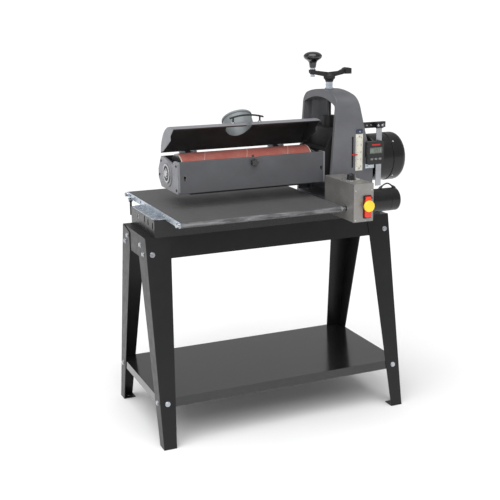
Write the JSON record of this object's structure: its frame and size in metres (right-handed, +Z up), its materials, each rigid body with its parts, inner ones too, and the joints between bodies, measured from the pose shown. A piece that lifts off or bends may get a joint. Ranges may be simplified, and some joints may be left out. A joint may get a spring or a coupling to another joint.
{
  "type": "drum sander",
  "caption": "Open-ended drum sander on a splayed sheet-steel stand: conveyor table, lifting sanding head with hinged dust cover, crank-driven column and side motor.",
  "frame": {"origin": "on the floor at the centre of the four foot holes, straight below the drum's axis", "axes": "+X along the drum towards its motor, +Y the way the stock leaves, from front to rear, +Z up"},
  "size_m": [1.0228, 0.6474, 1.264],
  "materials": {
    "stand_black": "satin black powder coat",
    "base_black": "satin black paint",
    "body_grey": "mid-grey textured powder coat",
    "plate_grey": "light grey paint",
    "cover_black": "satin black paint",
    "cast_black": "black painted casting",
    "motor_black": "satin black paint",
    "box_grey": "brushed grey sheet",
    "zinc_plate": "bluish zinc plate",
    "zinc_bolt": "bright zinc plated",
    "screw_steel": "ground steel",
    "spring_steel": "spring steel wire",
    "chrome": "polished chrome",
    "oxide_black": "black oxide",
    "belt_rubber": "charcoal abrasive cloth belt",
    "presser_rubber": "black rubber cover",
    "cable_rubber": "black rubber jacket",
    "drum_aluminium": "machined aluminium",
    "abrasive_red": "brick red abrasive cloth",
    "port_grey": "grey moulded plastic",
    "plastic_black": "black moulded plastic",
    "dial_pale": "pale printed plate",
    "strip_grey": "anodised aluminium",
    "knob_black": "gloss black phenolic",
    "scale_cream": "cream printed plate",
    "pointer_red": "red paint",
    "switch_red": "red moulded plastic",
    "key_yellow": "yellow moulded plastic",
    "button_grey": "grey keypad rubber"
  },
  "bodies": {
    "root": {"stand_legs_front": "stand_black", "stand_legs_rear": "stand_black", "stand_rails": "stand_black", "stand_shelf": "stand_black", "stand_bolts": "zinc_bolt", "base_frame": "base_black", "conveyor_bed": "base_black", "conveyor_belt": "belt_rubber", "conveyor_brackets": "zinc_plate", "table_stop_rod": "oxide_black", "roller_bushings": "zinc_bolt", "conveyor_gearbox": "cast_black", "conveyor_motor": "motor_black", "motor_cable": "cable_rubber", "control_box": "box_grey", "speed_dial": "dial_pale", "switch_body": "plastic_black", "column": "body_grey", "depth_scale": "scale_cream", "machine_bolts": "zinc_bolt", "readout_bracket": "zinc_plate", "readout_display": "plastic_black", "panel_screws": "zinc_bolt"},
    "crank": {"lead_screw": "screw_steel", "crank_arm": "cast_black", "crank_hardware": "chrome"},
    "crank_grip": {"crank_knob": "knob_black"},
    "head": {"head_carriage": "cast_black", "end_plate_left": "plate_grey", "end_plate_right": "plate_grey", "front_panel": "body_grey", "rear_panel": "body_grey", "drum_bearings": "plate_grey", "drum_motor": "motor_black", "motor_fan_cover": "motor_black", "roller_guides": "oxide_black", "pressure_springs": "spring_steel", "depth_pointer": "pointer_red", "readout_bar": "oxide_black", "readout_strip": "strip_grey", "cover_hinges": "zinc_plate"},
    "drum_rotor": {"drum_shaft": "screw_steel", "drum": "drum_aluminium", "abrasive_wrap": "abrasive_red"},
    "front_carrier": {"pressure_carrier_front": "oxide_black"},
    "rear_carrier": {"pressure_carrier_rear": "oxide_black"},
    "front_presser": {"pressure_roller_front": "presser_rubber"},
    "rear_presser": {"pressure_roller_rear": "presser_rubber"},
    "drive_roll": {"drive_roller": "screw_steel"},
    "idler_roll": {"idler_roller": "screw_steel"},
    "cover": {"dust_cover": "cover_black", "dust_port": "port_grey", "cover_handle": "oxide_black"},
    "latch": {"latch_knob": "knob_black"},
    "speed_control": {"speed_knob": "knob_black"},
    "paddle": {"switch_paddle": "switch_red"},
    "key": {"switch_key": "key_yellow"},
    "button_1": {"readout_button_1": "button_grey"},
    "button_2": {"readout_button_2": "button_grey"},
    "button_3": {"readout_button_3": "button_grey"}
  },
  "joints": [
    {"name": "head_lift", "type": "slide", "parent": "root", "child": "head", "axis": [0, 0, 1], "range_m": [-0.042, 0.059]},
    {"name": "crank_turn", "type": "hinge", "parent": "root", "child": "crank", "pos_m": [0.281, 0, 1.133], "axis": [0, 0, 1], "continuous": true},
    {"name": "crank_grip_spin", "type": "hinge", "parent": "crank", "child": "crank_grip", "pos_m": [0.215, 0, 1.209], "axis": [0, 0, 1], "continuous": true},
    {"name": "drum_spin", "type": "hinge", "parent": "head", "child": "drum_rotor", "pos_m": [0, 0, 0.8775], "axis": [1, 0, 0], "continuous": true},
    {"name": "front_carrier_lift", "type": "slide", "parent": "head", "child": "front_carrier", "axis": [0, 0, 1], "range_m": [0, 0.008], "stiffness_N_per_m": 2500, "springref_m": -0.012, "deforming": ["pressure_springs"]},
    {"name": "rear_carrier_lift", "type": "slide", "parent": "head", "child": "rear_carrier", "axis": [0, 0, 1], "range_m": [0, 0.008], "stiffness_N_per_m": 2500, "springref_m": -0.012},
    {"name": "front_presser_spin", "type": "hinge", "parent": "front_carrier", "child": "front_presser", "pos_m": [0, -0.082, 0.8237], "axis": [1, 0, 0], "continuous": true},
    {"name": "rear_presser_spin", "type": "hinge", "parent": "rear_carrier", "child": "rear_presser", "pos_m": [0, 0.082, 0.8237], "axis": [1, 0, 0], "continuous": true},
    {"name": "drive_roll_spin", "type": "hinge", "parent": "root", "child": "drive_roll", "pos_m": [0, -0.281, 0.761], "axis": [1, 0, 0], "continuous": true},
    {"name": "idler_roll_spin", "type": "hinge", "parent": "root", "child": "idler_roll", "pos_m": [0, 0.281, 0.761], "axis": [1, 0, 0], "continuous": true},
    {"name": "cover_hinge", "type": "hinge", "parent": "head", "child": "cover", "pos_m": [0, 0.062, 0.9335], "axis": [-1, 0, 0], "range_deg": [-37, 58]},
    {"name": "latch_turn", "type": "hinge", "parent": "head", "child": "latch", "pos_m": [-0.059, -0.103, 0.9095], "axis": [0, 1, 0], "range_deg": [0, 90]},
    {"name": "speed_knob_turn", "type": "hinge", "parent": "root", "child": "speed_control", "pos_m": [0.238, -0.245, 0.851], "axis": [0, 0, 1], "range_deg": [-150, 150]},
    {"name": "paddle_press", "type": "hinge", "parent": "root", "child": "paddle", "pos_m": [0.249, -0.342, 0.802], "axis": [-1, 0, 0], "range_deg": [0, 15]},
    {"name": "key_pull", "type": "slide", "parent": "paddle", "child": "key", "axis": [0, -1, 0], "range_m": [0, 0.02]},
    {"name": "button_1_press", "type": "slide", "parent": "root", "child": "button_1", "axis": [0, 1, 0], "range_m": [0, 0.001], "stiffness_N_per_m": 800, "springref_m": -0.001},
    {"name": "button_2_press", "type": "slide", "parent": "root", "child": "button_2", "axis": [0, 1, 0], "range_m": [0, 0.001], "stiffness_N_per_m": 800, "springref_m": -0.001},
    {"name": "button_3_press", "type": "slide", "parent": "root", "child": "button_3", "axis": [0, 1, 0], "range_m": [0, 0.001], "stiffness_N_per_m": 800, "springref_m": -0.001}
  ],
  "couplings": [
    {"joint": "crank_turn", "follows": "head_lift", "rad_per_m": -3957.9},
    {"joint": "idler_roll_spin", "follows": "drive_roll_spin", "ratio": 1}
  ]
}
